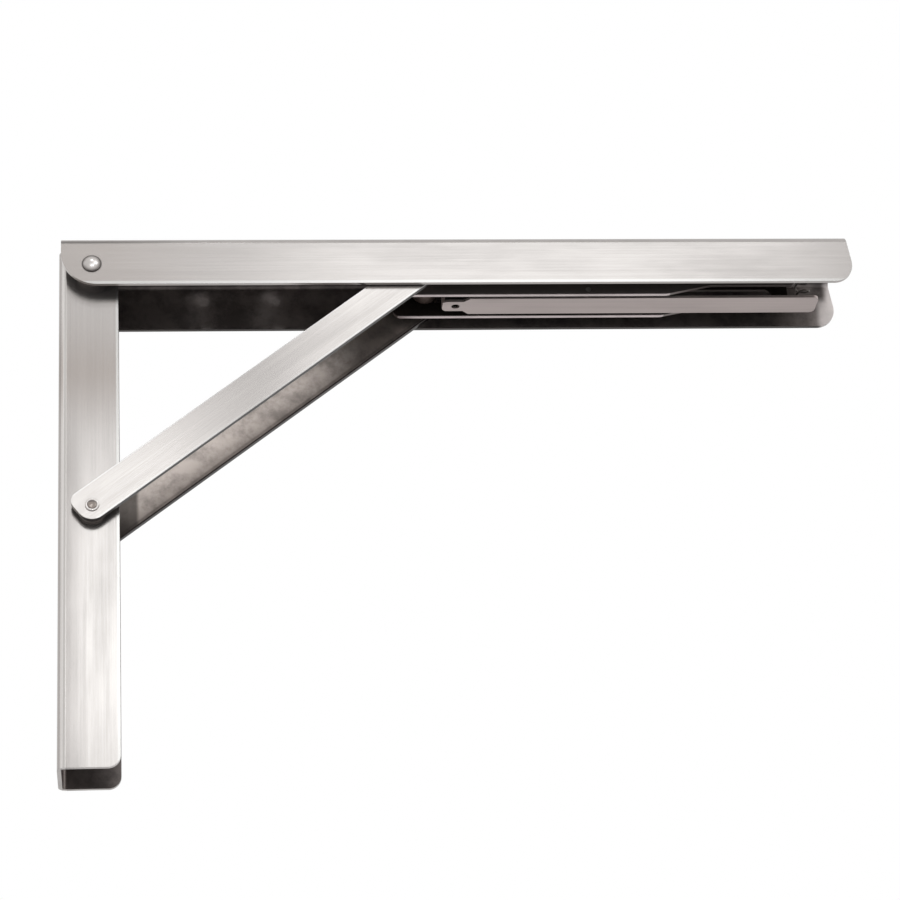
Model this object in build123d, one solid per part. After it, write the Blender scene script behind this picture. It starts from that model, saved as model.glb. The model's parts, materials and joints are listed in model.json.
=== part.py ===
from build123d import *
from math import asin, atan2, cos, degrees, hypot, sin
import os

# Folding shelf bracket in sheet steel, open, with its shelf arm level.
# +X points out from the wall, +Z up, and the bracket is symmetric about Y = 0.
# The origin is the middle of the wall screws, on the wall. All sizes are in millimetres.

# Sheet and fits
sheet = 2.0              # shelf arm, wall arm and rail
bend = 4.0               # outside radius of their folds
running = 0.05           # radial play of a pin, and end play beside a turning face
face_gap = 0.3           # room between faces that pass each other

# Shelf arm, a channel that opens downwards
arm_length = 400.0
arm_width = 48.0
arm_back = 15.2          # main pivot to the end beside the wall
arm_over = 15.5          # main pivot up to the shelf face
arm_under = 11.5         # main pivot down to the free edges
arm_heel_radius = 18.0
arm_nose_radius = 10.0
arm_nose_slant = 1.8     # how far the web stops short of the flanges
arm_bar_gap = 1.0        # shelf arm to strut bar

# Wall arm, a channel that opens away from the wall
wall_back = 16.4         # main pivot to the wall
wall_drop = 263.0        # main pivot down to the lower end
wall_arm_gap = 0.6       # wall arm's edges to the shelf arm's web
wall_corner = 6.0

# Strut, a flat bar on each side
bar_thick = 3.0
bar_side_gap = 3.25      # wall arm to bar
bar_below = 7.5          # pivot line to the bar's lower edge, and its end radius
bar_above = 10.0         # pivot line to the bar's upper edge
bar_corner = 5.0
strut_drop = 132.0       # main pivot down to the strut's lower pivot
strut_reach = 168.0      # main pivot out to the slide pin, bracket open

# Guide rail, a narrow channel under the shelf arm's web
rail_wall_gap = 0.95     # rail to the wall arm's inside, bracket folded
rail_back = 16.0         # slide pin, bracket open, to the rail's near end
rail_past = 12.3         # slide pin, bracket folded, to the rail's far end
rail_under = 11.5        # pivot line down to the deep edges
rail_shallow = 6.5       # pivot line down to the shallow edges
rail_slope_back = 68.0   # far end back to the slope
rail_slope_length = 23.5
rail_corner = 4.0
rail_rivet_shares = (0.185, 0.515, 0.825)  # of the rail's length, from its near end
rail_rivet_radius = 2.5
rail_rivet_flare = 1.2
rail_button_radius = 4.2
rail_button_height = 0.9

# Release lever, a strip between the rail's flanges
lever_sheet = 1.5
lever_side_gap = 2.3     # rail to lever
lever_under = 11.5       # pivot line down to its underside
lever_past_roller = 1.5  # open roller to the lever's tip
lever_past_spring = 2.6
lever_pin_place = 82.0   # open slide pin out to the lever pin
lever_pin_drop = 8.6
lever_pin_radius = 1.4
lever_corner_share = 0.2  # of its width: its corners, and the tongue's step on each side
tongue_hole_share = 0.14  # of its width: the hole's radius
tongue_length = 11.0
tongue_hole_place = 7.0  # from the tip
ear_radius = 2.9
catch_gap = 0.4          # catch to the roller's sweep

# Lever spring
spring_rail_gap = 1.6    # rail's far end to the spring
spring_radius = 3.4
spring_wire = 0.5        # wire radius
spring_turns = 6
wire_sides = 8           # keeps the coil's facets few

# Slide pin, its roller and bushes
slide_pin_radius = 3.5
slot_play = 0.08
roller_radius = 6.5
roller_side_gap = 0.5    # roller to the lever's ears
slide_bush_radius = 6.0
end_head_radius = 4.5
end_head_height = 0.6

# Pivots
main_pin_radius = 3.0
main_head_radius = 4.5
main_head_height = 1.6
main_bush_radius = 7.5
strut_pin_radius = 2.4
strut_head_radius = 3.4
strut_head_height = 0.6
strut_dish = 0.35
strut_washer_radius = 6.5
inner_head_radius = 4.4
inner_head_height = 0.9

# Screw holes, countersunk from inside the channels
screw_radius = 3.2
screw_head_radius = 5.2
screw_sink = 1.6
wall_screws_apart = 200.0
wall_middle_screws_apart = 70.0
shelf_screw_places = (55.0, 91.0)
shelf_screws_apart = 20.0
nose_screw_back = 11.8   # from the arm's tip
nose_screw_inset = 10.0  # from the arm's sides

# Places worked out from the sizes above
web_under = arm_over - sheet
wall_width = arm_width - 2 * (sheet + arm_bar_gap + bar_thick + bar_side_gap)
wall_front = web_under - wall_arm_gap
wall_depth = wall_back + wall_front
main_x = wall_back
main_z = (wall_drop - wall_front) / 2
strut_z = main_z - strut_drop
slide_x = main_x + strut_reach
strut_length = hypot(strut_reach, strut_drop)
slide_travel = strut_drop + strut_length - strut_reach
shelf_z = main_z + arm_over
arm_inside = arm_width / 2 - sheet
wall_outside = wall_width / 2
wall_inside = wall_outside - sheet
bar_inside = wall_outside + bar_side_gap
bar_outside = bar_inside + bar_thick
rail_outside = wall_inside - rail_wall_gap
rail_width = 2 * rail_outside
rail_top = main_z + web_under
rail_start = strut_reach - rail_back
rail_end = strut_reach + slide_travel + rail_past
rail_length = rail_end - rail_start
rail_rivet_places = [rail_start + share * rail_length for share in rail_rivet_shares]
spring_place = rail_end + spring_rail_gap + spring_radius + spring_wire
lever_width = rail_width - 2 * (sheet + lever_side_gap)
lever_corner = lever_corner_share * lever_width
tongue_hole_radius = tongue_hole_share * lever_width
lever_start = strut_reach + roller_radius + lever_past_roller
lever_end = spring_place + spring_radius + spring_wire + lever_past_spring
lever_low = main_z - lever_under
lever_pin_x = slide_x + lever_pin_place
lever_pin_z = main_z - lever_pin_drop
roller_width = lever_width - 2 * (lever_sheet + roller_side_gap)
nose_screw_x = main_x - arm_back + arm_length - nose_screw_back
nose_screws_apart = arm_width - 2 * nose_screw_inset
slide_pin_end = bar_inside - face_gap
beyond = 2 * arm_width


def channel(start, run, length, width, depth):
    """Folded channel along run, its web at start and its flanges rising over the depth."""
    outer = Rectangle(width, depth, align=(Align.CENTER, Align.MIN))
    outer = fillet(outer.vertices().group_by(Axis.Y)[0], bend)
    hollow = Rectangle(width - 2 * sheet, depth, align=(Align.CENTER, Align.MIN))
    hollow = Pos(0, sheet) * fillet(hollow.vertices().group_by(Axis.Y)[0], bend - sheet)
    section = Plane(origin=start, x_dir=(0, -1, 0), z_dir=run) * (outer - hollow)
    return extrude(section, length)


def side_prism(outline, half=beyond):
    """A side outline, drawn with X and Z, carried to both sides."""
    return extrude(Plane.XZ * outline, half, both=True)


def rounded(outline, corner, radius):
    """The outline with the corner nearest to the given point rounded."""
    return fillet(outline.vertices().sort_by_distance(corner)[0], radius)


def rod(radius, x, z, y_from, y_to):
    """Round bar along Y."""
    base = Plane(origin=(x, y_from, z), z_dir=(0, 1, 0))
    return base * Cylinder(radius, y_to - y_from, align=(Align.CENTER, Align.CENTER, Align.MIN))


def cross_hole(radius, x, z):
    """Hole through everything along Y."""
    return rod(radius + running, x, z, -beyond, beyond)


def ring(outer_radius, pin_radius, x, z, y_from, y_to):
    """Bush, washer or roller along Y, with a running fit on its pin."""
    return rod(outer_radius, x, z, y_from, y_to) - cross_hole(pin_radius, x, z)


def turned(points, x, z):
    """A piece turned about Y, from corners given as radius and place along Y."""
    outline = make_face(Polyline(*points, close=True))
    return revolve(Pos(x, 0, z) * outline, Axis((x, 0, z), (0, 1, 0)))


def dome(radius, height, x, z, y_base):
    """Round head that rises along +Y from the plane at y_base."""
    ball = (radius**2 + height**2) / (2 * height)
    half = asin(radius / ball) / 2
    crown = y_base + height
    shoulder = (ball * sin(half), crown - ball + ball * cos(half))
    rim = ThreePointArc((radius, y_base), shoulder, (0, crown))
    outline = make_face(rim + Polyline((0, crown), (0, y_base), (radius, y_base)))
    return revolve(Pos(x, 0, z) * outline, Axis((x, 0, z), (0, 1, 0)))


def screw_hole(x, y, z, inward):
    """Countersunk hole from an outer face, with its wide end at the inner face."""
    low = (Align.CENTER, Align.CENTER, Align.MIN)
    shank = Cylinder(screw_radius, sheet, align=low)
    sink = Cone(screw_radius, screw_head_radius, screw_sink, align=low)
    return Plane(origin=(x, y, z), z_dir=inward) * (shank + Pos(0, 0, sheet - screw_sink) * sink)


def shelf_arm():
    left = main_x - arm_back
    right = left + arm_length
    low = main_z - arm_under
    body = channel((left, 0, shelf_z), (1, 0, 0), arm_length, arm_width, arm_over + arm_under)
    outline = make_face(
        Polyline(
            (left, shelf_z), (right - arm_nose_slant, shelf_z), (right, main_z), (right, low),
            (left, low), close=True,
        )
    )
    outline = rounded(outline, (left, low), arm_heel_radius)
    outline = rounded(outline, (right, low), arm_nose_radius)
    body = body & side_prism(outline)
    body -= cross_hole(main_pin_radius, main_x, main_z)
    for side in (-0.5, 0.5):
        for place in shelf_screw_places:
            body -= screw_hole(main_x + place, side * shelf_screws_apart, shelf_z, (0, 0, -1))
        body -= screw_hole(nose_screw_x, side * nose_screws_apart, shelf_z, (0, 0, -1))
    for place in rail_rivet_places:
        body -= rail_rivet_shank(place)
    return body


def wall_arm():
    low = main_z - wall_drop
    high = main_z + wall_front
    body = channel((0, 0, low), (0, 0, 1), high - low, wall_width, wall_depth)
    outline = make_face(
        Polyline((0, low), (wall_depth, low), (wall_depth, high), (0, high), close=True)
    )
    outline = rounded(outline, (wall_depth, high), wall_front)
    outline = rounded(outline, (wall_depth, low), wall_corner)
    body = body & side_prism(outline)
    body -= cross_hole(main_pin_radius, main_x, main_z)
    body -= cross_hole(strut_pin_radius, main_x, strut_z)
    for apart in (wall_screws_apart, wall_middle_screws_apart):
        for side in (-0.5, 0.5):
            body -= screw_hole(0, 0, side * apart, (1, 0, 0))
    return body


def strut_bar():
    blank = Rectangle(
        strut_length + 2 * bar_below, bar_below + bar_above, align=(Align.MIN, Align.MIN)
    )
    blank = Pos(-bar_below, -bar_below) * blank
    blank = fillet(blank.vertices().group_by(Axis.Y)[0], bar_below)
    blank = fillet(blank.vertices().group_by(Axis.Y)[-1], bar_corner)
    blank -= Circle(strut_pin_radius + running)
    blank -= Pos(strut_length, 0) * Circle(main_pin_radius + running)
    slope = Plane(
        origin=(main_x, bar_outside, strut_z), x_dir=(strut_reach, 0, strut_drop), z_dir=(0, -1, 0)
    )
    return extrude(slope * blank, bar_thick)


def guide_rail():
    left = main_x + rail_start
    right = main_x + rail_end
    deep = main_z - rail_under
    shallow = main_z - rail_shallow
    slope = right - rail_slope_back
    depth = web_under + rail_under
    body = channel((left, 0, rail_top), (1, 0, 0), right - left, rail_width, depth)
    outline = make_face(
        Polyline(
            (left, rail_top), (right, rail_top), (right, shallow),
            (slope + rail_slope_length, shallow), (slope, deep), (left, deep),
            close=True,
        )
    )
    outline = rounded(outline, (right, shallow), rail_corner)
    outline = rounded(outline, (left, deep), rail_corner)
    body = body & side_prism(outline)
    slot = SlotCenterToCenter(slide_travel, 2 * (slide_pin_radius + slot_play))
    body -= side_prism(Pos(slide_x + slide_travel / 2, main_z) * slot)
    body -= cross_hole(lever_pin_radius, lever_pin_x, lever_pin_z)
    for place in rail_rivet_places:
        body -= rail_rivet_shank(place)
    return body


def rail_rivet_shank(place):
    """Shank through the shelf arm and the rail, flared flush with the shelf face."""
    low = (Align.CENTER, Align.CENTER, Align.MAX)
    shank = Cylinder(rail_rivet_radius, 2 * sheet, align=low)
    flare = Cone(
        rail_rivet_radius, rail_rivet_radius + rail_rivet_flare, rail_rivet_flare, align=low
    )
    return Pos(main_x + place, 0, shelf_z) * (shank + flare)


def rail_rivet(place):
    low = (Align.CENTER, Align.CENTER, Align.MAX)
    button = Cylinder(rail_button_radius, rail_button_height, align=low)
    button = fillet(button.edges().group_by(Axis.Z)[0], rail_button_height / 2)
    return rail_rivet_shank(place) + Pos(main_x + place, 0, rail_top - sheet) * button


def lever_plan():
    """The strip from above: a narrow tongue with a hole, then the full width."""
    half = lever_width / 2
    slim = half - lever_corner
    tip = main_x + lever_start
    neck = tip + tongue_length
    end = main_x + lever_end
    plan = make_face(
        Polyline(
            (tip, -slim), (neck, -slim), (neck + lever_corner, -half), (end, -half),
            (end, half), (neck + lever_corner, half), (neck, slim), (tip, slim),
            close=True,
        )
    )
    plan = fillet(plan.vertices().group_by(Axis.X)[0], lever_corner)
    plan = fillet(plan.vertices().group_by(Axis.X)[-1], lever_corner)
    return plan - Pos(tip + tongue_hole_place, 0) * Circle(tongue_hole_radius)


def lever_ears():
    """Two ears that rise from the strip's edges to the lever pin."""
    ear = Pos(lever_pin_x, lever_pin_z) * Circle(ear_radius)
    foot = Pos(lever_pin_x, lever_low) * Rectangle(
        2 * ear_radius, lever_pin_z - lever_low, align=(Align.CENTER, Align.MIN)
    )
    ears = side_prism(ear + foot, lever_width / 2)
    ears -= side_prism(ear + foot, lever_width / 2 - lever_sheet)
    return ears & Pos(lever_pin_x, 0, lever_low) * Box(
        beyond, beyond, beyond, align=(Align.CENTER, Align.CENTER, Align.MIN)
    )


def release_lever():
    catch = lever_under - roller_radius - catch_gap
    length = lever_end - lever_start
    profile = Rectangle(length, catch, align=(Align.MIN, Align.MIN))
    profile = fillet(profile.vertices().sort_by_distance((0, 0))[0], lever_sheet)
    profile -= Pos(lever_sheet, lever_sheet) * Rectangle(length, catch, align=(Align.MIN, Align.MIN))
    body = side_prism(Pos(main_x + lever_start, lever_low) * profile)
    body = body & extrude(lever_plan(), beyond, both=True).moved(Pos(0, 0, lever_low))
    body += lever_ears()
    return body - cross_hole(lever_pin_radius, lever_pin_x, lever_pin_z)


def lever_spring():
    """Compression spring between the strip's upper face and the shelf arm's web."""
    foot = lever_low + lever_sheet + spring_wire
    height = rail_top - spring_wire - foot
    path = Helix(height / spring_turns, height, spring_radius)
    path = Pos(main_x + spring_place, 0, foot) * path
    wire = Plane(origin=path @ 0, z_dir=path % 0) * RegularPolygon(spring_wire, wire_sides)
    return sweep(wire, path=path, is_frenet=True)


def main_pivot_rivet():
    inner = wall_inside - inner_head_height
    seat = arm_width / 2 + running
    points = (
        (0, inner), (inner_head_radius, inner), (inner_head_radius, wall_inside),
        (main_pin_radius, wall_inside), (main_pin_radius, seat), (0, seat),
    )
    return turned(points, main_x, main_z) + dome(
        main_head_radius, main_head_height, main_x, main_z, seat
    )


def strut_pivot_rivet():
    """Low rivet with a dished head, so that the shelf arm can pass beside it."""
    inner = wall_inside - inner_head_height
    seat = bar_outside + running
    crown = seat + strut_head_height
    points = (
        (0, inner), (inner_head_radius, inner), (inner_head_radius, wall_inside),
        (strut_pin_radius, wall_inside), (strut_pin_radius, seat), (strut_head_radius, seat),
        (strut_head_radius, crown - strut_dish), (strut_head_radius - strut_dish, crown),
        (strut_pin_radius, crown), (strut_pin_radius - strut_dish, crown - strut_dish),
        (0, crown - strut_dish),
    )
    return turned(points, main_x, strut_z)


def strut_end_rivet():
    """Fills the bar's upper hole; it stops level with the bar's inner face."""
    seat = bar_outside
    shank = rod(main_pin_radius, slide_x, main_z, bar_inside, seat)
    return shank + dome(end_head_radius, end_head_height, slide_x, main_z, seat)


def main_pivot_bush():
    return ring(
        main_bush_radius, main_pin_radius, main_x, main_z, wall_outside, arm_inside - running
    )


def strut_pivot_washer():
    return ring(
        strut_washer_radius, strut_pin_radius, main_x, strut_z, wall_outside, bar_inside - running
    )


def slide_bush():
    return ring(
        slide_bush_radius, slide_pin_radius, slide_x, main_z, rail_outside + face_gap, slide_pin_end
    )


def save(name, piece):
    export_step(piece, "parts/" + name + ".step")


def save_pair(name, piece):
    """Writes the piece as the rear one and its mirror image as the front one."""
    save(name + "_rear", piece)
    save(name + "_front", mirror(piece, about=Plane.XZ))


def build():
    os.makedirs("parts", exist_ok=True)
    save("shelf_arm", shelf_arm())
    save("wall_arm", wall_arm())
    save("guide_rail", guide_rail())
    save("rail_rivets", Compound(children=[rail_rivet(place) for place in rail_rivet_places]))
    save("release_lever", release_lever())
    save("lever_spring", lever_spring())
    save(
        "lever_pin",
        rod(lever_pin_radius, lever_pin_x, lever_pin_z, -rail_outside, rail_outside),
    )
    save("slide_pin", rod(slide_pin_radius, slide_x, main_z, -slide_pin_end, slide_pin_end))
    save(
        "guide_roller",
        ring(roller_radius, slide_pin_radius, slide_x, main_z, -roller_width / 2, roller_width / 2),
    )
    save_pair("slide_bush", slide_bush())
    save_pair("strut_bar", strut_bar())
    save_pair("strut_end_rivet", strut_end_rivet())
    save_pair("main_pivot_rivet", main_pivot_rivet())
    save_pair("main_pivot_bush", main_pivot_bush())
    save_pair("strut_pivot_rivet", strut_pivot_rivet())
    save_pair("strut_pivot_washer", strut_pivot_washer())


build()
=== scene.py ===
import json
import math

import bpy
from mathutils import Matrix, Vector

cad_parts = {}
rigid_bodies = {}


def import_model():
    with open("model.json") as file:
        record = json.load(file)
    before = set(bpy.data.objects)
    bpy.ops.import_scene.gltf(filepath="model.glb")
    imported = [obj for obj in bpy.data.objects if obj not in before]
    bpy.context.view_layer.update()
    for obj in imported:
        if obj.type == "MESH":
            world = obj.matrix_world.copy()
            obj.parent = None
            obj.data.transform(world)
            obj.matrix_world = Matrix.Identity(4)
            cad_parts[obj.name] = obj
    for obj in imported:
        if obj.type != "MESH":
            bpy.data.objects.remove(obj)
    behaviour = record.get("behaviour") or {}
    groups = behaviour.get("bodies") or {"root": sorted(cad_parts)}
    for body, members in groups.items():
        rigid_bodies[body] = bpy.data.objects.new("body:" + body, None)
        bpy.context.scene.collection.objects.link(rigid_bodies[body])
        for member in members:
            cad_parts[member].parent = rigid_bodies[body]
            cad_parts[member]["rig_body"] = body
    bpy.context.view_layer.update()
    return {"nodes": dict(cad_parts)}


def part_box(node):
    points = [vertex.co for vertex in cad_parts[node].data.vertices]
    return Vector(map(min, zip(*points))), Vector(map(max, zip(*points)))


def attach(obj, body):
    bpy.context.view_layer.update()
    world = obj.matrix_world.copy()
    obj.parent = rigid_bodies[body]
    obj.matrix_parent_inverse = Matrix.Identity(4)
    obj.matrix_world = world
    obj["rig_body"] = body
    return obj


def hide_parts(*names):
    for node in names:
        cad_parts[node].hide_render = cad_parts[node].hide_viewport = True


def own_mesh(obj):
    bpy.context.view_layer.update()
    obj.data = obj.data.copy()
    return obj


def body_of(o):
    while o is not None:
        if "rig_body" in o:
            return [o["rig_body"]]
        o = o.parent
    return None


# A folding shelf bracket in brushed stainless sheet, open, as it is fixed to a wall.
# X runs out from the wall, Y across the bracket and Z up. Lengths are in metres.
# The CAD solids are the frame. The sheet pieces are copied from them and get softened edges.
# The pivot rivets and the lever's spring are made anew in their places.

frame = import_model()


# ---- places taken from the frame ----

def middle(node):
    """Middle of a CAD node's box."""
    low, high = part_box(node)
    return (low + high) / 2


shelf_low, shelf_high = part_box("shelf_arm")
wall_low, wall_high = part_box("wall_arm")
rail_low, rail_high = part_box("guide_rail")
bar_low, bar_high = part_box("strut_bar_rear")
spring_low, spring_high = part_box("lever_spring")
main_pivot = middle("main_pivot_bush_rear")
strut_pivot = middle("strut_pivot_washer_rear")
open_pin = middle("slide_pin")
strut_slope = math.atan2(open_pin.z - strut_pivot.z, open_pin.x - strut_pivot.x)
sheet = 0.002  # thickness of the channels
x_axis, y_axis, z_axis = 0, 1, 2


# ---- shader nodes ----

def wire(tree, source, target):
    tree.links.new(source, target)


def node(tree, kind, **values):
    """Adds a node and sets its properties or inputs by name."""
    made = tree.nodes.new(kind)
    for key, value in values.items():
        if key.startswith("in_"):
            made.inputs[key[3:].replace("_", " ")].default_value = value
        else:
            setattr(made, key, value)
    return made


def feed(tree, value, target):
    """Gives an input a number or a colour, or wires an output to it."""
    if isinstance(value, tuple):
        target.default_value = (*value, 1.0)
    elif isinstance(value, (int, float)):
        target.default_value = value
    else:
        wire(tree, value, target)


def math_node(tree, operation, first, second=None):
    made = node(tree, "ShaderNodeMath", operation=operation)
    feed(tree, first, made.inputs[0])
    if second is not None:
        feed(tree, second, made.inputs[1])
    return made.outputs[0]


def ramp(tree, source, low, high, from_value=0.0, to_value=1.0):
    """Smooth step from low to high, between two output values."""
    made = node(
        tree, "ShaderNodeMapRange", interpolation_type="SMOOTHSTEP",
        in_From_Min=low, in_From_Max=high, in_To_Min=from_value, in_To_Max=to_value,
    )
    wire(tree, source, made.inputs["Value"])
    return made.outputs["Result"]


def rising(tree, source, edge, soft):
    return ramp(tree, source, edge - soft, edge + soft)


def falling(tree, source, edge, soft):
    return ramp(tree, source, edge - soft, edge + soft, 1.0, 0.0)


def blend_colour(tree, share, first, second):
    """The first colour, with a share of the second."""
    made = node(tree, "ShaderNodeMix", data_type="RGBA", clamp_factor=True)
    share_input, first_input, second_input, colour_output = 0, 6, 7, 2
    feed(tree, share, made.inputs[share_input])
    feed(tree, first, made.inputs[first_input])
    feed(tree, second, made.inputs[second_input])
    return made.outputs[colour_output]


def mix_shaders(tree, share, first, second):
    made = node(tree, "ShaderNodeMixShader")
    for place, source in enumerate((share, first, second)):
        wire(tree, source, made.inputs[place])
    return made.outputs[0]


def noise(tree, vector, scale, detail=4.0, rough=0.5):
    made = node(tree, "ShaderNodeTexNoise", in_Scale=scale, in_Detail=detail, in_Roughness=rough)
    wire(tree, vector, made.inputs["Vector"])
    return made.outputs["Fac"]


def object_place(tree):
    return node(tree, "ShaderNodeTexCoord").outputs["Object"]


def grain(tree, place, slope, along, across, detail, rough):
    """Noise drawn out along a slope, with its grains to a metre along the slope and across it."""
    made = node(tree, "ShaderNodeMapping", vector_type="TEXTURE")
    made.inputs["Rotation"].default_value = (0, -slope, 0)
    made.inputs["Scale"].default_value = (1 / along, 1 / across, 1 / across)
    wire(tree, place, made.inputs["Vector"])
    return noise(tree, made.outputs["Vector"], 1.0, detail, rough)


# ---- masks: where a finish lies on a piece ----

crisp = 0.00008  # half the width over which a sharp border fades


def axis_value(tree, place, axis):
    split = node(tree, "ShaderNodeSeparateXYZ")
    wire(tree, place, split.inputs[0])
    return split.outputs[axis]


def half_width(tree, place):
    return math_node(tree, "ABSOLUTE", axis_value(tree, place, y_axis))


def side_under(half, soft=crisp):
    """What lies nearer the middle plane than half."""
    def mask(tree, place):
        return falling(tree, half_width(tree, place), half, soft)
    return mask


def side_over(half, soft=crisp):
    """What lies further from the middle plane than half."""
    def mask(tree, place):
        return rising(tree, half_width(tree, place), half, soft)
    return mask


def below(axis, limit, soft=crisp):
    def mask(tree, place):
        return falling(tree, axis_value(tree, place, axis), limit, soft)
    return mask


def above(axis, limit, soft=crisp):
    def mask(tree, place):
        return rising(tree, axis_value(tree, place, axis), limit, soft)
    return mask


def both(first, *others):
    """What lies in all of the masks."""
    def mask(tree, place):
        share = first(tree, place)
        for other in others:
            share = math_node(tree, "MULTIPLY", share, other(tree, place))
        return share
    return mask


def between(axis, low, high, soft=crisp):
    """A band along an axis."""
    return both(above(axis, low, soft), below(axis, high, soft))


def partly(share, whole):
    """A fainter copy of a mask."""
    def mask(tree, place):
        return math_node(tree, "MULTIPLY", whole(tree, place), share)
    return mask


def from_pivot(tree, place, pivot):
    """How far a point is from a pivot's axis, outwards and upwards."""
    outwards = math_node(tree, "SUBTRACT", axis_value(tree, place, x_axis), pivot.x)
    upwards = math_node(tree, "SUBTRACT", axis_value(tree, place, z_axis), pivot.z)
    return outwards, upwards


def band(tree, measure, low, high, soft):
    """What measures between low and high."""
    return math_node(
        tree, "MULTIPLY", rising(tree, measure, low, soft), falling(tree, measure, high, soft)
    )


def ring_round(pivot, inner, outer, soft):
    """A ring about a pivot's axis."""
    def mask(tree, place):
        outwards, upwards = from_pivot(tree, place, pivot)
        outwards_squared = math_node(tree, "MULTIPLY", outwards, outwards)
        upwards_squared = math_node(tree, "MULTIPLY", upwards, upwards)
        radius = math_node(
            tree, "SQRT", math_node(tree, "ADD", outwards_squared, upwards_squared)
        )
        return band(tree, radius, inner, outer, soft)
    return mask


def across_bar(low, high, soft=0.0002):
    """A line along the strut bars, between two distances above their pivot line."""
    def mask(tree, place):
        outwards, upwards = from_pivot(tree, place, strut_pivot)
        above_line = math_node(
            tree, "SUBTRACT", math_node(tree, "MULTIPLY", upwards, math.cos(strut_slope)),
            math_node(tree, "MULTIPLY", outwards, math.sin(strut_slope)),
        )
        return band(tree, above_line, low, high, soft)
    return mask


# ---- steel ----

def toned(colour, share):
    """A colour made darker or lighter."""
    return tuple(min(1.0, part * share) for part in colour)


def finish(mask, colour, dulling=0.0, mottled=0.0):
    """A finish on part of a piece, or painted shade or light laid on it: where, its colour, how
    much duller and how far mottled.
    """
    return mask, colour, dulling, mottled


def start_material(name):
    made = bpy.data.materials.new(name)
    made.use_nodes = True
    tree = made.node_tree
    return made, tree, object_place(tree)


def veil(tree, shade, pattern, low, high, strength, tone):
    """Lays a second tone over a shade where a pattern rises from low to high."""
    return blend_colour(tree, ramp(tree, pattern, low, high, 0.0, strength), shade, tone)


def lay_finishes(tree, place, shade, gloss, finishes):
    """Lays the finishes over a shade, each over those before it."""
    for mask_of, colour, dulling, mottled in finishes:
        mask = mask_of(tree, place)
        mottle = noise(tree, place, 75.0, detail=6.0, rough=0.68)
        laid = veil(tree, colour, mottle, 0.36, 0.66, mottled, tone=toned(colour, 0.55))
        shade = blend_colour(tree, mask, shade, laid)
        gloss = math_node(tree, "ADD", gloss, math_node(tree, "MULTIPLY", mask, dulling))
    return shade, gloss


def join_up(tree, shade, gloss, metallic, relief_of, depth, strength):
    """Wires a shade, its gloss and the low relief of a pattern to the shader."""
    shader = tree.nodes["Principled BSDF"]
    wire(tree, shade, shader.inputs["Base Color"])
    wire(tree, gloss, shader.inputs["Roughness"])
    shader.inputs["Metallic"].default_value = metallic
    relief = node(tree, "ShaderNodeBump", in_Strength=strength, in_Distance=depth)
    wire(tree, relief_of, relief.inputs["Height"])
    wire(tree, relief.outputs["Normal"], shader.inputs["Normal"])


def brushed_steel(name, colour, slope=0.0, roughness=0.20, clouding=0.22, finishes=()):
    """Sheet steel brushed along a slope, with fine grain, streaks and broad clouds."""
    made, tree, place = start_material(name)
    fine = grain(tree, place, slope, along=9.0, across=1500.0, detail=3.0, rough=0.6)
    streaks = grain(tree, place, slope, along=12.0, across=420.0, detail=4.0, rough=0.7)
    clouds = grain(tree, place, slope, along=15.0, across=60.0, detail=4.0, rough=0.55)
    shade = veil(tree, colour, clouds, 0.40, 0.72, clouding, tone=toned(colour, 0.62))
    shade = veil(tree, shade, streaks, 0.42, 0.75, 0.08, tone=toned(colour, 0.66))
    shade = veil(tree, shade, fine, 0.35, 0.70, 0.20, tone=toned(colour, 1.35))
    gloss = math_node(tree, "ADD", ramp(tree, streaks, 0.25, 0.75, -0.016, 0.022), roughness)
    gloss = math_node(tree, "ADD", gloss, ramp(tree, clouds, 0.35, 0.75, 0.0, 0.05))
    shade, gloss = lay_finishes(tree, place, shade, gloss, finishes)
    join_up(tree, shade, gloss, metallic=0.88, relief_of=fine, depth=0.00003, strength=0.05)
    return made


def dull_steel(name, colour, roughness=0.42, mottle=0.30, finishes=()):
    """Turned or rolled steel with an even, slightly blotchy finish."""
    made, tree, place = start_material(name)
    blotches = noise(tree, place, 80.0, detail=5.0, rough=0.6)
    fine = noise(tree, place, 900.0, detail=3.0)
    shade = veil(tree, colour, blotches, 0.35, 0.68, mottle, tone=toned(colour, 0.62))
    shade = veil(tree, shade, fine, 0.4, 0.7, 0.12, tone=toned(colour, 1.2))
    gloss = ramp(tree, blotches, 0.3, 0.7, roughness - 0.06, roughness + 0.08)
    shade, gloss = lay_finishes(tree, place, shade, gloss, finishes)
    join_up(tree, shade, gloss, metallic=0.92, relief_of=fine, depth=0.00005, strength=0.08)
    return made


# ---- finishes of the pieces, with painted shade and painted highlights ----

steel_colour = (0.405, 0.380, 0.364)
# painted shade: the dark colour laid on the insides of the channels, where shade falls
shaded_inside_colour = (0.225, 0.197, 0.186)
# painted highlight: the light colour laid along the free edges of the sheet
edge_highlight_colour = (0.50, 0.485, 0.47)
tiny = 0.0001  # reach of a mask past the face that it covers


def channel_inside(half, within_web):
    """The inside of a folded channel, from its half width and a mask of what its web closes in."""
    return both(side_under(half - sheet + tiny), within_web)


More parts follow.
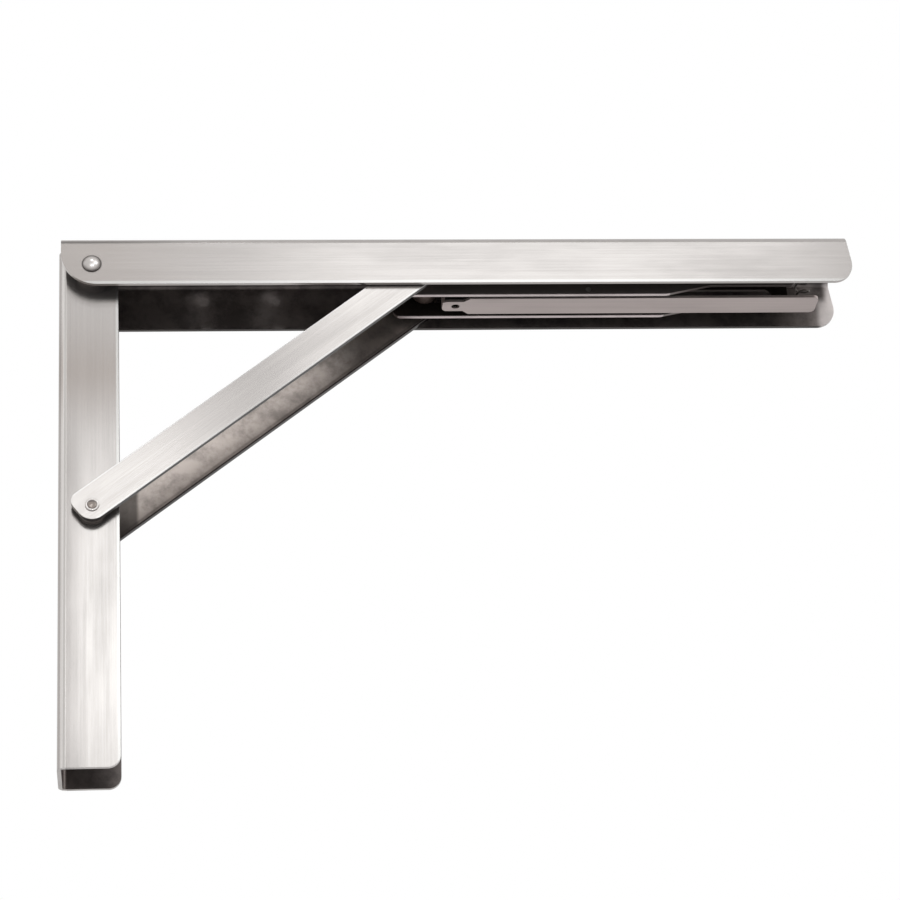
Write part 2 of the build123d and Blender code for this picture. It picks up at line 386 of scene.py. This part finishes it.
def shelf_finishes():
    """Shelf arm: painted shade at the pivot end, a duller fold painted lighter, painted shade where
    the fold ends, a painted shadow round the rivet, a mottled inside in painted shade with painted
    light at the nose, a painted highlight on the lower edge and painted shade on the rear rim.
    """
    side, top, bottom, nose = shelf_high.y, shelf_high.z, shelf_low.z, shelf_high.x
    inside = channel_inside(side, below(z_axis, top - sheet + tiny))
    # painted shade: the pivot end of the shelf arm is coloured darker
    pivot_end_shade = below(x_axis, 0.050, soft=0.035)
    # painted light: the fold is coloured a little lighter than the face, and duller
    fold = both(side_over(side - 0.0024, soft=0.0006), above(z_axis, top - 0.0032, soft=0.0006))
    # painted shade: a darker line where the fold ends near the pivot, over a highlight
    fold_end_shade = both(
        side_over(side - 0.0022, soft=0.0004),
        between(z_axis, top - 0.0040, top - 0.0022, soft=0.0005),
        below(x_axis, 0.055, soft=0.040),
    )
    # painted shadow: a dark ring round the main pivot rivet's head
    rivet_shadow_ring = ring_round(main_pivot, inner=0.0043, outer=0.0050, soft=0.0003)
    # painted light: the inside is coloured lighter towards the open nose
    nose_glow = both(inside, above(x_axis, nose - 0.0110, soft=0.0045))
    nose_light = both(inside, above(x_axis, nose - 0.0085, soft=0.0019))
    # painted shade: the dark inside colour laid back over the upper part of the lit nose
    nose_corner_shade = both(
        inside, below(x_axis, nose - 0.0040, soft=0.0018),
        above(z_axis, bottom + 0.0155, soft=0.0030),
    )
    # painted highlight along the flange's lower edge
    painted_edge_line = both(side_over(side - 0.0003), below(z_axis, bottom + 0.0015, soft=0.0005))
    # painted shade: a dark line on the rear flange's lower rim
    rear_rim_shade = both(
        above(y_axis, side - sheet), below(z_axis, bottom + 0.0003),
        below(x_axis, nose - 0.008, soft=0.002),
    )
    nose_glow_colour = (0.66, 0.61, 0.59)
    return (
        finish(partly(0.4, pivot_end_shade), (0.335, 0.295, 0.272)),
        finish(fold, (0.44, 0.415, 0.400), dulling=0.10, mottled=0.2),
        finish(fold_end_shade, (0.20, 0.185, 0.176), dulling=0.16),
        finish(rivet_shadow_ring, (0.10, 0.09, 0.085), dulling=0.1),
        finish(inside, shaded_inside_colour, dulling=0.16, mottled=1.0),
        finish(partly(0.22, nose_glow), nose_glow_colour, dulling=0.06, mottled=0.3),
        finish(nose_light, nose_glow_colour, dulling=0.06, mottled=0.3),
        finish(nose_corner_shade, shaded_inside_colour, dulling=0.10, mottled=1.0),
        finish(painted_edge_line, edge_highlight_colour),
        finish(rear_rim_shade, (0.060, 0.054, 0.050), dulling=0.1, mottled=0.3),
    )


def wall_finishes():
    """Wall arm: a duller upper band in painted shade, painted shade beside its fold, a fold painted
    lighter, a mottled inside in painted shade and a painted highlight on the front edge.
    """
    side, front = wall_high.y, wall_high.x
    # painted shade: a darker, duller band across the upper part of the wall arm
    upper_band_shade = between(z_axis, 0.051, 0.086, soft=0.022)
    # painted shade: the face is darker beside the fold, in the arm's lower part
    fold_side_shade = both(
        above(x_axis, 0.0038, soft=0.0003), below(x_axis, 0.0085, soft=0.0075),
        below(z_axis, 0.036, soft=0.030),
    )
    # painted light: the fold is coloured lighter, where it would show a dark line
    fold = both(
        side_over(side - 0.0012, soft=0.0003), between(x_axis, 0.0024, 0.0040, soft=0.0003)
    )
    inside = channel_inside(side, above(x_axis, wall_low.x + sheet - tiny))
    # painted highlight along the flange's front edge
    painted_edge_line = both(side_over(side - 0.0003), above(x_axis, front - 0.0013, soft=0.0004))
    return (
        finish(partly(0.5, upper_band_shade), (0.240, 0.200, 0.175), dulling=0.02),
        finish(fold_side_shade, (0.270, 0.250, 0.238)),
        finish(fold, (0.53, 0.505, 0.485), dulling=0.02),
        finish(inside, shaded_inside_colour, dulling=0.16, mottled=1.0),
        finish(painted_edge_line, edge_highlight_colour),
    )


def rail_finishes():
    """Guide rail: an inside in painted shade and a painted highlight on the lower edge."""
    # painted shade: the inside of the rail is coloured nearly black
    inside = channel_inside(rail_high.y, below(z_axis, rail_high.z - sheet + tiny))
    # painted highlight along the rail's lower edge
    lower_edge_highlight = below(z_axis, rail_low.z + 0.0004)
    return (
        finish(inside, (0.04, 0.032, 0.028), dulling=0.1, mottled=1.0),
        finish(lower_edge_highlight, (0.66, 0.58, 0.57), mottled=0.3),
    )


def bar_finishes():
    """Strut bars: painted highlight lines outside, painted shade in their middle, a mottled inner
    side, and painted shade along the inner lower edges, by the feet and on the lower rims.
    """
    outer = side_over(bar_high.y - tiny)
    inner = side_under(bar_low.y + tiny)
    rim = both(side_over(bar_low.y + 0.00012), side_under(bar_high.y - 0.0003))
    # painted highlights: light lines along the bars' lower and upper edges
    lower_highlight_line = both(outer, across_bar(-0.0085, -0.0066))
    upper_highlight_line = both(outer, across_bar(0.0094, 0.0110))
    # painted shade: the middle of the bars is darker than their ends
    middle_shade = both(outer, between(x_axis, 0.072, 0.122, soft=0.028))
    # painted shade: darker lines along the lower edge of the bars' inner sides
    inner_fade_shade = both(inner, across_bar(-0.0068, -0.0052, soft=0.0006))
    inner_edge_shade = both(inner, across_bar(-0.0095, -0.0067, soft=0.0003))
    # painted shadow: the inner sides are darker beside the wall arm
    foot_shadow = both(inner, below(x_axis, 0.038, soft=0.0012))
    # painted shade: the lower rims of the bars are coloured nearly black
    lower_rim_shade = both(rim, across_bar(-0.0200, 0.0, soft=0.003))
    return (
        finish(lower_highlight_line, edge_highlight_colour),
        finish(upper_highlight_line, (0.52, 0.50, 0.49)),
        finish(partly(0.5, middle_shade), (0.25, 0.234, 0.224), dulling=0.02),
        finish(inner, (0.43, 0.377, 0.345), dulling=0.16, mottled=1.0),
        finish(partly(0.45, inner_fade_shade), (0.060, 0.050, 0.045), dulling=0.1, mottled=0.2),
        finish(inner_edge_shade, (0.035, 0.030, 0.028), dulling=0.1, mottled=0.2),
        finish(partly(0.75, foot_shadow), (0.060, 0.052, 0.047), dulling=0.1, mottled=0.4),
        finish(lower_rim_shade, (0.030, 0.026, 0.024), dulling=0.1, mottled=0.5),
    )


def rivet_finishes():
    """Rivets: painted shade on a duller rim round the main pivot's dome, and painted shade in the
    dish of the strut pivot's head.
    """
    # painted shade round the rim of the main pivot's dome
    dome_rim_shade = ring_round(main_pivot, inner=0.0036, outer=0.0060, soft=0.0008)
    # painted shade: the dish of the strut pivot's head is coloured darker
    dish = ring_round(strut_pivot, inner=-0.001, outer=0.0021, soft=0.0002)
    return (
        finish(dome_rim_shade, (0.20, 0.18, 0.17), dulling=0.1),
        finish(dish, (0.30, 0.26, 0.235)),
    )


materials = {
    "shelf_arm": brushed_steel("shelf_arm_brushed", steel_colour, finishes=shelf_finishes()),
    "wall_arm": brushed_steel(
        "wall_arm_brushed", steel_colour, slope=math.pi / 2, finishes=wall_finishes()
    ),
    "strut_bar": brushed_steel(
        "strut_bar_brushed", (0.448, 0.420, 0.402), slope=strut_slope, clouding=0.32,
        finishes=bar_finishes(),
    ),
    "guide_rail": brushed_steel(
        "guide_rail_rolled", (0.20, 0.175, 0.165), roughness=0.40, finishes=rail_finishes()
    ),
    "release_lever": brushed_steel("release_lever_rolled", (0.47, 0.405, 0.385), roughness=0.40),
    "lever_pin": dull_steel("lever_pin_turned", (0.40, 0.38, 0.36)),
    "slide_pin": dull_steel("slide_pin_turned", (0.20, 0.16, 0.14)),
    "guide_roller": dull_steel("guide_roller_turned", (0.13, 0.095, 0.08)),
    "lever_spring": dull_steel("lever_spring_wire", (0.13, 0.115, 0.105), roughness=0.42),
    "bush": dull_steel("bush_turned", (0.16, 0.14, 0.13)),
    "rivet": dull_steel(
        "rivet_headed", (0.52, 0.49, 0.47), roughness=0.20, mottle=0.20, finishes=rivet_finishes()
    ),
}
material_of = {"rail_rivets": "rivet"}
for pair, material in (
    ("strut_bar", "strut_bar"), ("strut_end_rivet", "rivet"), ("main_pivot_rivet", "rivet"),
    ("strut_pivot_rivet", "rivet"), ("main_pivot_bush", "bush"), ("strut_pivot_washer", "bush"),
    ("slide_bush", "bush"),
):
    for ending in ("front", "rear"):
        material_of[f"{pair}_{ending}"] = material


def dress(piece, material):
    piece.data.materials.clear()
    piece.data.materials.append(material)


for name, piece in frame["nodes"].items():
    dress(piece, materials[material_of.get(name, name)])


# ---- modelling ----

weld = 0.000002  # points nearer to each other than this are one point


def deselect_all():
    bpy.ops.object.select_all(action="DESELECT")


def edit_whole_mesh():
    """Starts edit mode with everything selected."""
    bpy.ops.object.mode_set(mode="EDIT")
    bpy.ops.mesh.select_all(action="SELECT")


def leave_edit_mode():
    bpy.ops.object.mode_set(mode="OBJECT")


def settle_circle(vertices, radius, location, fill):
    """Adds an upright circle, facing along Y, with its place in its mesh."""
    deselect_all()
    bpy.ops.mesh.primitive_circle_add(
        vertices=vertices, radius=radius, fill_type=fill,
        location=location, rotation=(math.pi / 2, 0, 0),
    )
    bpy.ops.object.transform_apply(location=True, rotation=True, scale=True)
    return bpy.context.object


def smooth_under(degrees):
    """Shades faces smooth where they meet at less than an angle."""
    bpy.ops.object.shade_smooth_by_angle(angle=math.radians(degrees))


def body_with(name):
    """The body that a CAD node belongs to."""
    return body_of(frame["nodes"][name])[0]


def show_for(piece, name):
    """Shows a piece in place of the CAD node, on its body."""
    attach(piece, body_with(name))
    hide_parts(name)


# ---- sheet pieces with softened edges ----

def soften(name, width):
    """Copies a CAD piece, breaks its sharp edges as tumbling does, and shows the copy."""
    original = frame["nodes"][name]
    deselect_all()
    original.select_set(True)
    bpy.context.view_layer.objects.active = original
    bpy.ops.object.duplicate()
    piece = bpy.context.object
    piece.parent = None
    piece.matrix_world = Matrix.Identity(4)
    piece.name = "soft_" + name
    edit_whole_mesh()
    bpy.ops.mesh.remove_doubles(threshold=weld)
    bpy.ops.mesh.dissolve_limited(angle_limit=math.radians(0.5))
    leave_edit_mode()
    bevel = piece.modifiers.new("broken_edges", "BEVEL")
    bevel.width = width
    bevel.segments = 2
    bevel.limit_method = "ANGLE"
    bevel.angle_limit = math.radians(30)
    bpy.ops.object.modifier_apply(modifier=bevel.name)
    smooth_under(38)
    even = piece.modifiers.new("even_faces", "WEIGHTED_NORMAL")
    even.keep_sharp = True
    even.weight = 90
    bpy.ops.object.modifier_apply(modifier=even.name)
    show_for(piece, name)


for name, width in (
    ("shelf_arm", 0.00025), ("wall_arm", 0.00025), ("guide_rail", 0.0002),
    ("release_lever", 0.0002), ("strut_bar_front", 0.00035), ("strut_bar_rear", 0.00035),
):
    soften(name, width)


# ---- pivot rivets ----

head_lift = 0.00005  # gap under an outer head
low_head_radius, low_head_edge = 0.0044, 0.0003


def edge_sweep(start):
    """Sines and cosines of an arc, from a starting angle to nearly the middle of a head."""
    end, steps = 0.12, 8
    angles = [start + (end - start) * step / steps for step in range(steps + 1)]
    return [(math.sin(angle), math.cos(angle)) for angle in angles]


def low_head_and_pin(inner, pin, seat):
    """Radii and depths of the low head inside the wall arm and of the pin up to its outer seat."""
    wall_face = wall_high.y - sheet
    return [
        (low_head_radius - low_head_edge, inner), (low_head_radius, inner + low_head_edge),
        (low_head_radius, wall_face), (pin, wall_face), (pin, seat),
    ]


def main_rivet_profile():
    """Domed head outside the shelf arm, low head inside the wall arm."""
    pin, head, edge = 0.0030, 0.0045, 0.0002
    low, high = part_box("main_pivot_rivet_rear")
    seat = shelf_high.y + head_lift
    rise = high.y - seat - edge
    dome = [(head * sine, seat + edge + rise * cosine) for sine, cosine in edge_sweep(math.pi / 2)]
    return low_head_and_pin(low.y, pin, seat) + [(head, seat)] + dome


def strut_rivet_profile():
    """Low head outside the strut bar with a round dish in it, low head inside the wall arm."""
    pin, head, edge, corner = 0.0024, 0.0034, 0.0003, 0.0001
    dish, dish_depth, dish_lip, dish_start = 0.0023, 0.0011, 0.0002, 1.45
    low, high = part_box("strut_pivot_rivet_rear")
    top, seat = high.y, bar_high.y + head_lift
    outer_head = [
        (head, seat), (head, top - edge), (head - corner, top - corner), (head - edge, top),
        (dish + dish_lip, top),
    ]
    hollow = [(dish * sine, top - dish_depth * cosine) for sine, cosine in edge_sweep(dish_start)]
    return low_head_and_pin(low.y, pin, seat) + outer_head + hollow


def turned(name, profile, side):
    """A headed pin turned about Y from radii and depths, shown for the CAD piece of that name."""
    centre = middle(name)
    radius, depth = profile[0]
    piece = settle_circle(
        vertices=48, radius=radius, location=(centre.x, side * depth, centre.z), fill="NGON"
    )
    piece.name = "turned_" + name
    edit_whole_mesh()
    for next_radius, next_depth in profile[1:]:
        bpy.ops.mesh.extrude_region_move(
            TRANSFORM_OT_translate={"value": (0, side * (next_depth - depth), 0)}
        )
        share = next_radius / radius
        bpy.ops.transform.resize(
            value=(share, 1, share), center_override=(centre.x, side * next_depth, centre.z)
        )
        radius, depth = next_radius, next_depth
    bpy.ops.mesh.select_all(action="SELECT")
    bpy.ops.mesh.normals_make_consistent(inside=False)
    leave_edit_mode()
    smooth_under(32)
    dress(piece, materials["rivet"])
    show_for(piece, name)


for ending, side in (("front", -1), ("rear", 1)):
    turned("main_pivot_rivet_" + ending, main_rivet_profile(), side)
    turned("strut_pivot_rivet_" + ending, strut_rivet_profile(), side)


# ---- spring of the release lever ----

wire_radius = 0.0005
coil_radius = (spring_high.x - spring_low.x) / 2 - wire_radius - 0.00001  # just inside the box


def coil(low, turns, rise):
    """Turns of round wire about Z from a height, with the rise of one turn."""
    piece = settle_circle(
        vertices=12, radius=wire_radius, location=(coil_radius, 0, low), fill="NOTHING"
    )
    screw = piece.modifiers.new("turns", "SCREW")
    screw.steps = screw.render_steps = 28
    screw.iterations = turns
    screw.screw_offset = rise
    bpy.ops.object.modifier_apply(modifier=screw.name)
    return piece


def lever_spring():
    """Compression spring with closed end turns between the lever and the shelf arm's web."""
    open_turns, closed = 4, 2.1 * wire_radius
    foot = spring_low.z + wire_radius
    open_rise = (spring_high.z - spring_low.z - 2 * wire_radius - 2 * closed) / open_turns
    coils = [
        coil(foot, 1, closed), coil(foot + closed, open_turns, open_rise),
        coil(foot + closed + open_turns * open_rise, 1, closed),
    ]
    deselect_all()
    for part in coils:
        part.select_set(True)
    piece = coils[0]
    bpy.context.view_layer.objects.active = piece
    bpy.ops.object.join()
    piece.name = "lever_spring_wire"
    edit_whole_mesh()
    bpy.ops.mesh.remove_doubles(threshold=weld)
    bpy.ops.mesh.fill_holes(sides=0)
    bpy.ops.mesh.normals_make_consistent(inside=False)
    bpy.ops.transform.translate(value=(middle("lever_spring").x, 0, 0))
    leave_edit_mode()
    smooth_under(50)
    dress(piece, materials["lever_spring"])
    show_for(piece, "lever_spring")
    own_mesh(piece)


lever_spring()


# ---- stage, light and camera ----

def bare_tree(owner):
    """An empty node tree of a world or a material, with its Light Path."""
    owner.use_nodes = True
    tree = owner.node_tree
    tree.nodes.clear()
    return tree, node(tree, "ShaderNodeLightPath").outputs


def white_world():
    """A soft room light that shows as plain white, also in reflections and through glass."""
    world = bpy.data.worlds.new("studio")
    bpy.context.scene.world = world
    tree, path = bare_tree(world)
    seen = math_node(tree, "MAXIMUM", path["Is Camera Ray"], path["Is Glossy Ray"])
    seen = math_node(tree, "MAXIMUM", seen, path["Is Transmission Ray"])
    room = node(tree, "ShaderNodeBackground", in_Color=(0.96, 0.97, 1.0, 1.0), in_Strength=0.55)
    white = node(tree, "ShaderNodeBackground", in_Color=(1.0, 1.0, 1.0, 1.0), in_Strength=1.0)
    shown = mix_shaders(tree, seen, room.outputs[0], white.outputs[0])
    wire(tree, shown, node(tree, "ShaderNodeOutputWorld").inputs[0])


def pale_floor():
    """A pale floor well below the bracket, which keeps the shadow and fades to white far out."""
    fade_start, fade_end, nearest_white = 1.0, 1.5, 0.72
    bpy.ops.mesh.primitive_plane_add(size=3.2, location=(0.2, 0, -1.0))
    floor = bpy.context.object
    floor.name = "floor"
    made = bpy.data.materials.new("pale_floor")
    tree, path = bare_tree(made)
    place = object_place(tree)
    cloudy = ramp(tree, noise(tree, place, 3.0), 0.3, 0.7)
    plain = node(tree, "ShaderNodeBsdfDiffuse")
    tone = blend_colour(tree, cloudy, (0.86, 0.86, 0.86), (0.84, 0.84, 0.84))
    wire(tree, tone, plain.inputs["Color"])
    white = node(tree, "ShaderNodeEmission", in_Strength=1.0)
    far = node(tree, "ShaderNodeVectorMath", operation="LENGTH")
    wire(tree, place, far.inputs[0])
    fade = ramp(tree, far.outputs["Value"], fade_start, fade_end, nearest_white, 1.0)
    share = math_node(tree, "MULTIPLY", path["Is Camera Ray"], fade)
    shown = mix_shaders(tree, share, plain.outputs[0], white.outputs[0])
    wire(tree, shown, node(tree, "ShaderNodeOutputMaterial").inputs[0])
    dress(floor, made)


def soft_lamp(name, place, aim, size, power):
    data = bpy.data.lights.new(name, "AREA")
    data.shape = "DISK"
    data.size = size
    data.energy = power
    data.color = (0.94, 0.98, 1.0)
    lamp = bpy.data.objects.new(name, data)
    bpy.context.scene.collection.objects.link(lamp)
    lamp.location = place
    lamp.rotation_euler = (Vector(aim) - Vector(place)).to_track_quat("-Z", "Y").to_euler()


def glow_lamp(name, spot, size, power):
    """A lamp that shows in a front face at the given spot, as in a mirror."""
    eye = bpy.context.scene.camera.matrix_world.translation
    soft_lamp(name, Vector((2 * spot.x - eye.x, eye.y, 2 * spot.z - eye.z)), spot, size, power)


def set_camera():
    """Looks up at the bracket from in front and below, as if from under a shelf."""
    focal_length, sensor_width, distance = 116.4, 36.0, 1.4404
    yaw, pitch, roll = math.radians(6.8), math.radians(27.3), math.radians(-3.7)
    aim_out, aim_down = 0.1755, 0.0936
    target = Vector((main_pivot.x + aim_out, 0, main_pivot.z - aim_down))
    ahead = Vector(
        (math.sin(yaw) * math.cos(pitch), math.cos(yaw) * math.cos(pitch), math.sin(pitch))
    )
    level = Vector((math.cos(yaw), -math.sin(yaw), 0))
    rise = level.cross(ahead)
    right = level * math.cos(roll) + rise * math.sin(roll)
    up = rise * math.cos(roll) - level * math.sin(roll)
    data = bpy.data.cameras.new("camera")
    data.lens = focal_length
    data.sensor_width = sensor_width
    camera = bpy.data.objects.new("camera", data)
    bpy.context.scene.collection.objects.link(camera)
    turn = Matrix((right, up, -ahead)).transposed().to_4x4()
    camera.matrix_world = Matrix.Translation(target - ahead * distance) @ turn
    bpy.context.scene.camera = camera


bpy.context.scene.view_settings.view_transform = "Standard"
white_world()
pale_floor()
set_camera()
shelf_glow = Vector((main_pivot.x + 0.225, shelf_low.y, main_pivot.z))
wall_glow = Vector((main_pivot.x + 0.025, wall_low.y, main_pivot.z - 0.200))
glow_lamp("shelf_lamp", shelf_glow, size=0.56, power=1.18)
glow_lamp("wall_lamp", wall_glow, size=0.35, power=0.73)
soft_lamp("side_lamp", (-1.3, -0.7, 0.7), aim=(0.10, 0, 0.05), size=1.2, power=2.6)
soft_lamp("hole_lamp", (0.0, -0.98, 0.98), aim=(0.09, 0, 0.14), size=0.08, power=0.5)
